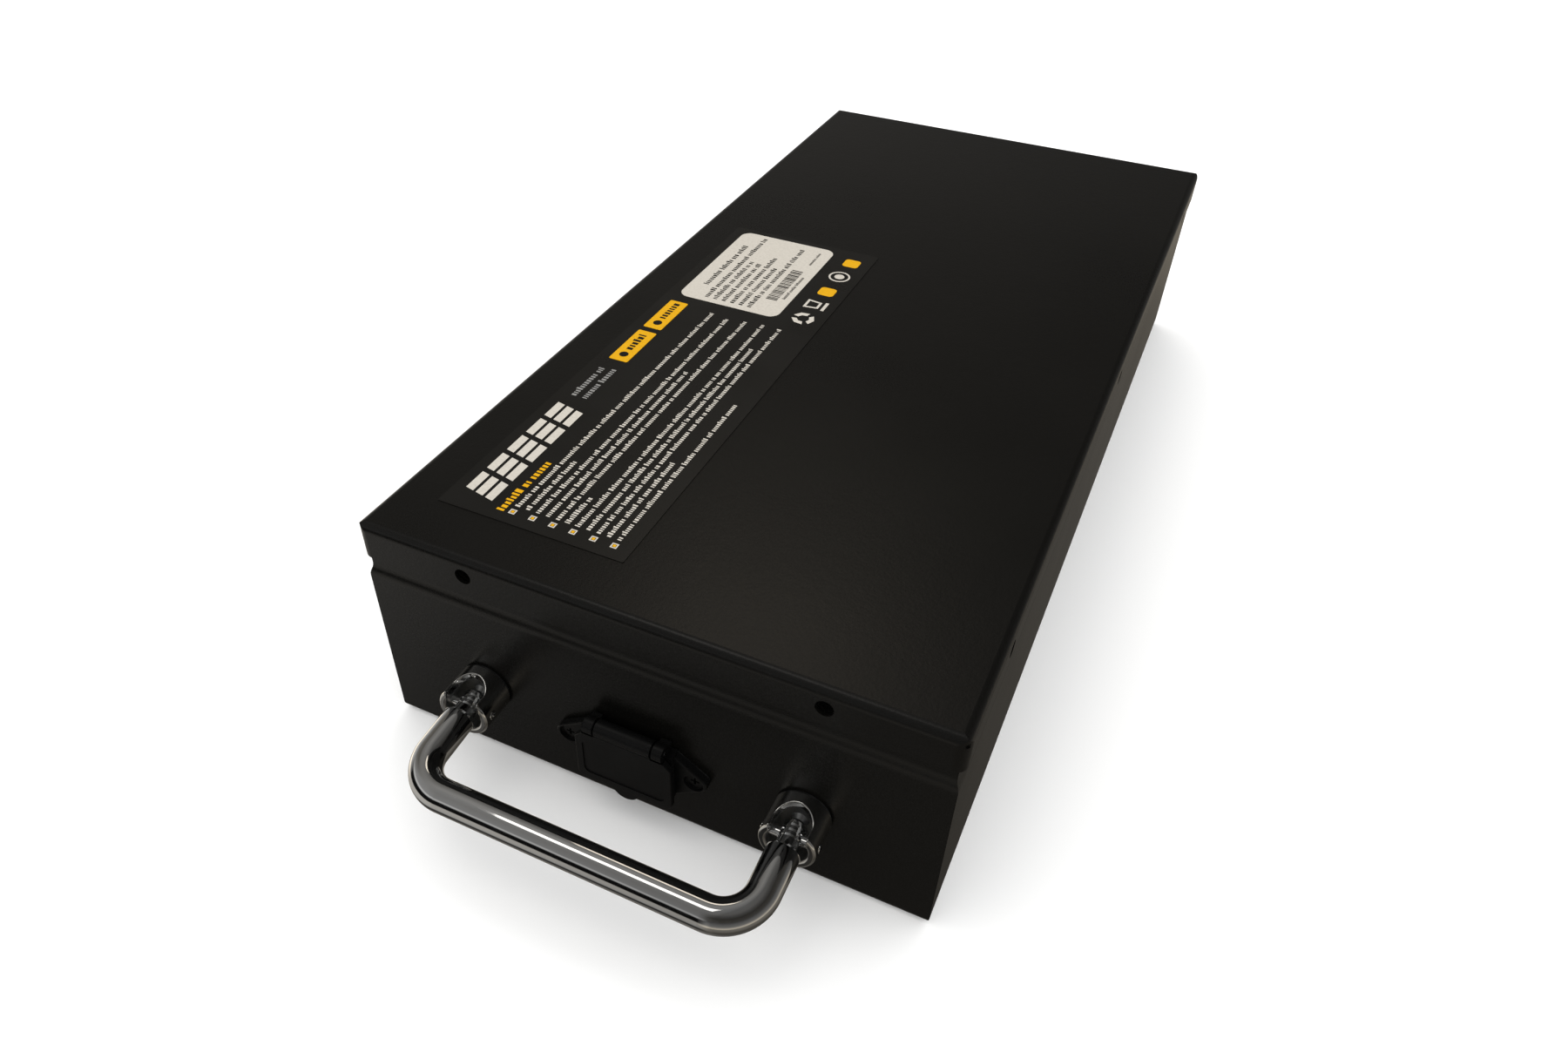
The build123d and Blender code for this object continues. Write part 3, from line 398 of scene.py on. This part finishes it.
class Print:
    """Thin raised ink shapes on the label, drawn in millimetres across (x) and along (y) the box."""

    def __init__(self, name, slot, floor):
        self.name = name
        self.slot = slot
        self.floor = floor
        self.mesh = bmesh.new()

    def shape(self, points):
        """A flat-topped prism on an outline that runs anticlockwise seen from above."""
        low = [self.mesh.verts.new((x * MM, y * MM, self.floor)) for x, y in points]
        high = [self.mesh.verts.new((x * MM, y * MM, self.floor + INK)) for x, y in points]
        self.mesh.faces.new(high)
        count = len(points)
        for i in range(count):
            j = (i + 1) % count
            self.mesh.faces.new((low[i], low[j], high[j], high[i]))
        self.mesh.faces.new(list(reversed(low)))

    def bar(self, x0, x1, y0, y1, corner=0.0):
        """A rectangle, with rounded corners if corner is their radius."""
        corners = [(x1, y0), (x1, y1), (x0, y1), (x0, y0)]
        if not corner:
            self.shape(corners)
            return
        points = []
        centres = [(x1 - corner, y0 + corner), (x1 - corner, y1 - corner),
                   (x0 + corner, y1 - corner), (x0 + corner, y0 + corner)]
        for quarter, (cx, cy) in enumerate(centres):
            for step in range(CORNER_STEPS + 1):
                angle = math.radians(90 * quarter - 90 + 90 / CORNER_STEPS * step)
                points.append((cx + corner * math.cos(angle), cy + corner * math.sin(angle)))
        self.shape(points)

    def disc(self, x, y, radius):
        angles = [2 * math.pi * i / ROUND_SIDES for i in range(ROUND_SIDES)]
        self.shape([(x + radius * math.cos(a), y + radius * math.sin(a)) for a in angles])

    def ring(self, x, y, outer, inner):
        for i in range(ROUND_SIDES):
            a0, a1 = 2 * math.pi * i / ROUND_SIDES, 2 * math.pi * (i + 1) / ROUND_SIDES
            self.shape([
                (x + inner * math.cos(a0), y + inner * math.sin(a0)),
                (x + outer * math.cos(a0), y + outer * math.sin(a0)),
                (x + outer * math.cos(a1), y + outer * math.sin(a1)),
                (x + inner * math.cos(a1), y + inner * math.sin(a1)),
            ])

    def outline(self, points, inner):
        """A closed frame between two outlines with the same number of corners."""
        for i in range(len(points)):
            j = (i + 1) % len(points)
            self.shape([points[i], points[j], inner[j], inner[i]])

    def words(self, x, y0, y1, height, weight=1.0):
        """A line of blank marks in word-length groups, in place of a line of text.

        The sizes are shares of the line's height: some marks are tall, most are not.
        """
        half, tall, mark_gap, word_gap = 0.36, 0.6, 0.24, 0.42
        y = y0
        while y < y1 - height:
            for _ in range(random.randint(2, 11)):
                width = height * random.uniform(0.2, 0.42) * weight
                if y + width > y1:
                    break
                top = x - height * random.choice((half, half, half, tall))
                self.bar(top, x + height * half, y, y + width)
                y += width + height * mark_gap
            y += height * word_gap

    def finish(self):
        data = bpy.data.meshes.new(self.name)
        bmesh.ops.recalc_face_normals(self.mesh, faces=self.mesh.faces)
        self.mesh.to_mesh(data)
        self.mesh.free()
        obj = bpy.data.objects.new(self.name, data)
        bpy.context.scene.collection.objects.link(obj)
        dress(obj, self.slot)
        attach(obj, "lid")


# Small print, in millimetres: each paragraph is the list of places along y where its lines end.
# A paragraph starts with a bullet at BULLET_Y, and the lines follow each other across x.
PARAGRAPHS = [(-33, -131), (-33, -72), (-33, -142), (-33, -48), (-33, -119), (-83,)]
LINE_PITCH = 3.28
FIRST_LINE = -51.2
TEXT_START = -156.9
TEXT_HEIGHT = 1.7
BULLET_Y = -159.4
BULLET_HALF = 1.0
BULLET_HOLE = 0.62
BULLET_DOT_HALF = 0.45

# The level gauge: columns along y, each cut into segments across x and leaning along y.
GAUGE_LEFT, GAUGE_RIGHT = -69.6, -59.2
GAUGE_START, GAUGE_END = -158.0, -107.0
GAUGE_COLUMNS = 5
GAUGE_SEGMENTS = 3
GAUGE_LEAN = 2.2
COLUMN_SHARE = 0.8
SEGMENT_SHARE = 0.72

# The row of plain signs: its place across x, and each sign's middle along y.
SIGN_X = -20.8
RING_Y = 13.0
TRIPLE_Y = -22.4
YELLOW_SIGNS_Y = (25.2, -0.2)


def bullet_places():
    """The place across x of each paragraph's first line, with the paragraph's line ends."""
    line = 0
    for ends in PARAGRAPHS:
        yield FIRST_LINE + line * LINE_PITCH, ends
        line += len(ends)


def draw_gauge(art):
    width = GAUGE_RIGHT - GAUGE_LEFT
    column_pitch = (GAUGE_END - GAUGE_START) / GAUGE_COLUMNS
    segment_pitch = width / (GAUGE_SEGMENTS - (1 - SEGMENT_SHARE))
    for column in range(GAUGE_COLUMNS):
        y0 = GAUGE_START + column * column_pitch
        y1 = y0 + column_pitch * COLUMN_SHARE
        for segment in range(GAUGE_SEGMENTS):
            x0 = GAUGE_LEFT + segment * segment_pitch
            x1 = x0 + segment_pitch * SEGMENT_SHARE
            lean0 = GAUGE_LEAN * (GAUGE_RIGHT - x0) / width
            lean1 = GAUGE_LEAN * (GAUGE_RIGHT - x1) / width
            art.shape([(x1, y0 + lean1), (x1, y1 + lean1), (x0, y1 + lean0), (x0, y0 + lean0)])


def draw_paragraphs(art):
    corners = [(1, -1), (1, 1), (-1, 1), (-1, -1)]
    for first, ends in bullet_places():
        outer = [(first + BULLET_HALF * x, BULLET_Y + BULLET_HALF * y) for x, y in corners]
        inner = [(first + BULLET_HOLE * x, BULLET_Y + BULLET_HOLE * y) for x, y in corners]
        art.outline(outer, inner)
        for row, end in enumerate(ends):
            art.words(first + row * LINE_PITCH, TEXT_START, end, TEXT_HEIGHT)


def draw_target(art):
    """A ring with a dot in it."""
    art.ring(SIGN_X, RING_Y, 4.1, 3.4)
    art.disc(SIGN_X, RING_Y, 1.9)


def draw_tub(art):
    """An open tapered frame over a bar."""
    art.outline(
        [(-18.8, -13.6), (-18.8, -9.0), (-24.4, -8.2), (-24.4, -14.4)],
        [(-19.7, -12.9), (-19.7, -9.7), (-23.5, -9.2), (-23.5, -13.4)],
    )
    art.bar(-17.6, -16.4, -14.4, -8.2)


def draw_triple(art):
    """Three equal blocks round a centre."""
    half_angle, inner_radius, outer_radius = 0.78, 2.3, 4.2

    def points(radius, angles):
        return [(SIGN_X + radius * math.cos(a), TRIPLE_Y + radius * math.sin(a)) for a in angles]

    for third in range(3):
        middle = math.radians(120 * third)
        angles = (middle - half_angle, middle, middle + half_angle)
        inner = points(inner_radius, angles)
        outer = points(outer_radius, angles)
        art.shape([inner[0], outer[0], outer[1], inner[1]])
        art.shape([inner[1], outer[1], outer[2], inner[2]])


def print_white():
    """A level gauge in place of the name, the small print as blank marks, and three plain signs."""
    art = Print("label_print_white", "print_white", FILM_TOP)
    draw_gauge(art)
    draw_paragraphs(art)
    draw_target(art)
    draw_tub(art)
    draw_triple(art)
    art.finish()


def print_yellow():
    """A heading of blank marks, a dot in each bullet, and two plain square signs."""
    half, corner = 3.1, 1.4
    art = Print("label_print_yellow", "print_yellow", FILM_TOP)
    art.words(-54.6, -160.4, -135.0, 2.5, 1.35)
    dot = BULLET_DOT_HALF
    for first, _ in bullet_places():
        art.bar(first - dot, first + dot, BULLET_Y - dot, BULLET_Y + dot)
    for y in YELLOW_SIGNS_Y:
        art.bar(-23.6, -17.4, y - half, y + half, corner)
    art.finish()


def print_grey():
    """Two short lines of blank marks after the gauge."""
    art = Print("label_print_grey", "print_grey", FILM_TOP)
    art.words(-67.4, -101.4, -82.0, 2.3)
    art.words(-63.4, -101.4, -81.4, 2.3)
    art.finish()


# Rows on the data plate: millimetres from its left edge, height of the marks in millimetres,
# and start and end as shares of the plate's length.
PLATE_ROWS = [
    (6.0, 2.3, 0.20, 0.82),
    (10.4, 2.1, 0.05, 0.97),
    (13.8, 2.1, 0.05, 0.62),
    (17.2, 2.1, 0.05, 0.66),
    (20.6, 2.1, 0.05, 0.74),
    (24.0, 2.1, 0.05, 0.60),
    (27.4, 2.1, 0.05, 0.93),
    (36.4, 1.3, 0.24, 0.58),
    (34.6, 1.1, 0.74, 0.93),
]


def print_plate():
    """Rows of blank marks and a block of plain upright bars on the white plate."""
    low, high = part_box("data_plate")
    left = low.x / MM
    front, back = low.y / MM, high.y / MM
    length = back - front
    art = Print("data_plate_print", "label_film", PLATE_TOP)
    for inset, height, start, end in PLATE_ROWS:
        art.words(left + inset, front + start * length, front + end * length, height)
    y = front + 0.2 * length
    while y < front + 0.62 * length:
        width = random.choice((0.3, 0.3, 0.55, 0.8))
        art.bar(left + 30.2, left + 34.6, y, y + width)
        y += width + random.choice((0.35, 0.55))
    art.finish()


TAG_LENGTH = 21.0


def print_tags():
    """Dark marks on the two yellow tags: a dot and a short row of blocks."""
    low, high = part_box("capacity_tags")
    x = (low.x / MM + high.x / MM) / 2
    art = Print("capacity_tag_print", "label_film", TAG_TOP)
    for front in (low.y / MM, high.y / MM - TAG_LENGTH):
        art.disc(x, front + 4.2, 1.6)
        art.words(x, front + 7.6, front + TAG_LENGTH - 1.4, 3.0, 1.2)
    art.finish()


print_white()
print_yellow()
print_grey()
print_plate()
print_tags()

# ---------------------------------------------------------------- studio

FLOOR_GAP = 0.2 * MM
FLOOR_HALF_SIZE = 6


def make_floor():
    """A pale floor that shiny surfaces don't mirror; the room's lower half stands for it there."""
    mesh = bmesh.new()
    bmesh.ops.create_grid(mesh, x_segments=1, y_segments=1, size=FLOOR_HALF_SIZE)
    data = bpy.data.meshes.new("floor")
    mesh.to_mesh(data)
    mesh.free()
    floor = bpy.data.objects.new("floor", data)
    floor.location.z = cad_box[0].z - FLOOR_GAP
    bpy.context.scene.collection.objects.link(floor)
    r = Recipe("pale_floor", (0.93, 0.93, 0.925), 0.9, specular=0.1)
    r.colour(r.mix(r.band(r.noise(0.4, 2), 0.3, 0.7), (0.925, 0.925, 0.92), (0.935, 0.935, 0.93)))
    data.materials.append(r.material)
    floor.visible_glossy = False


# The room as shiny surfaces see it in front of the box and to its left, and everywhere else:
# elevation in degrees, brightness, and how warm the light is.
FRONT_ROOM = [
    (-90, 0.20, 0.15),
    (-66, 0.12, 0.15),
    (-56, 0.02, 0.10),
    (-50, 0.03, 0.10),
    (-46, 0.12, 0.10),
    (-41, 0.28, 0.10),
    (-26, 0.31, 0.15),
    (-14, 0.30, 0.15),
    (-10, 0.004, 0.05),
    (10, 0.004, 0.05),
    (17, 0.38, 0.05),
    (26, 0.17, 0.05),
    (52, 0.15, 0.08),
    (90, 0.18, 0.05),
]
BACK_ROOM = [
    (-90, 0.20, 0.15),
    (-60, 0.13, 0.25),
    (-42, 0.30, 0.22),
    (-32, 0.37, 0.20),
    (-26, 0.45, 0.25),
    (-22, 1.15, 0.30),
    (-14, 0.70, 0.20),
    (-8, 0.35, 0.10),
    (8, 0.22, 0.05),
    (16, 0.12, 0.08),
    (24, 0.095, 0.20),
    (40, 0.065, 0.20),
    (56, 0.14, 0.10),
    (66, 0.22, 0.10),
    (90, 0.24, 0.05),
]

DOME = 1.45


def make_world():
    """A white dome for diffuse light, and a dim room for reflections in black paint and chrome."""
    world = bpy.data.worlds.new("studio")
    bpy.context.scene.world = world
    world.use_nodes = True
    tree = world.node_tree
    tree.nodes.clear()

    def add(kind, **settings):
        node = tree.nodes.new(kind)
        for key, value in settings.items():
            setattr(node, key, value)
        return node

    def ramp_over(height, table):
        """Brightness and warmth by elevation, from a table like FRONT_ROOM."""
        ramp = add("ShaderNodeValToRGB")
        tree.links.new(height, ramp.inputs["Fac"])
        stops = ramp.color_ramp.elements
        for i, (elevation, level, warmth) in enumerate(table):
            place = (1 + math.sin(math.radians(elevation))) / 2
            stop = stops[0] if i == 0 else stops[-1] if i == len(table) - 1 else stops.new(place)
            stop.color = (level, level * (1 - 0.4 * warmth), level * (1 - warmth), 1)
        return ramp.outputs["Color"]

    split = add("ShaderNodeSeparateXYZ")
    tree.links.new(add("ShaderNodeTexCoord").outputs["Generated"], split.inputs["Vector"])
    height = map_range(tree, split.outputs["Z"], -1, 1)
    behind = add("ShaderNodeMath", operation="MAXIMUM")
    tree.links.new(map_range(tree, split.outputs["Y"], -0.15, 0.15), behind.inputs[0])
    tree.links.new(map_range(tree, split.outputs["X"], -0.18, 0.0), behind.inputs[1])
    both = add("ShaderNodeMix", data_type="RGBA")
    tree.links.new(behind.outputs["Value"], both.inputs["Factor"])
    for table, socket in zip((FRONT_ROOM, BACK_ROOM), colour_sockets(both.inputs)):
        tree.links.new(ramp_over(height, table), socket)
    room = add("ShaderNodeBackground")
    tree.links.new(colour_sockets(both.outputs)[0], room.inputs["Color"])
    left_brighter = map_range(tree, split.outputs["X"], -0.6, 0.1, 1.6, 0.45)
    tree.links.new(left_brighter, room.inputs["Strength"])
    dome = add("ShaderNodeBackground")
    dome.inputs["Color"].default_value = (1, 1, 1, 1)
    dome.inputs["Strength"].default_value = DOME
    mix = add("ShaderNodeMixShader")
    tree.links.new(add("ShaderNodeLightPath").outputs["Is Glossy Ray"], mix.inputs["Fac"])
    tree.links.new(dome.outputs["Background"], mix.inputs[1])
    tree.links.new(room.outputs["Background"], mix.inputs[2])
    tree.links.new(mix.outputs["Shader"], add("ShaderNodeOutputWorld").inputs["Surface"])


HANDLE_HEART = Vector((0, -0.2, 0.03))
LIGHT_REACH = 1.5


def strip_light(name, tilt, shift, length, width, brightness, colour):
    """A soft light along the box's width, aimed at the handle.

    tilt is its angle over the handle in degrees, 0 at the back and 90 overhead.
    """
    angle = math.radians(tilt)
    offset = Vector((shift, LIGHT_REACH * math.cos(angle), LIGHT_REACH * math.sin(angle)))
    data = bpy.data.lights.new(name, "AREA")
    data.shape = "RECTANGLE"
    data.size = length
    data.size_y = width
    data.energy = brightness * math.pi * length * width
    data.color = colour
    light = bpy.data.objects.new(name, data)
    light.matrix_world = Matrix.Translation(HANDLE_HEART + offset) @ turn(tilt - 90, "X")
    bpy.context.scene.collection.objects.link(light)


make_floor()
make_world()
strip_light("strip_back", 52, -0.36, 0.42, 0.42, 1.0, (1.0, 0.88, 0.72))
strip_light("strip_over", 96, -0.42, 0.60, 0.40, 1.5, (1.0, 0.96, 0.90))
bpy.context.scene.view_settings.view_transform = "Standard"
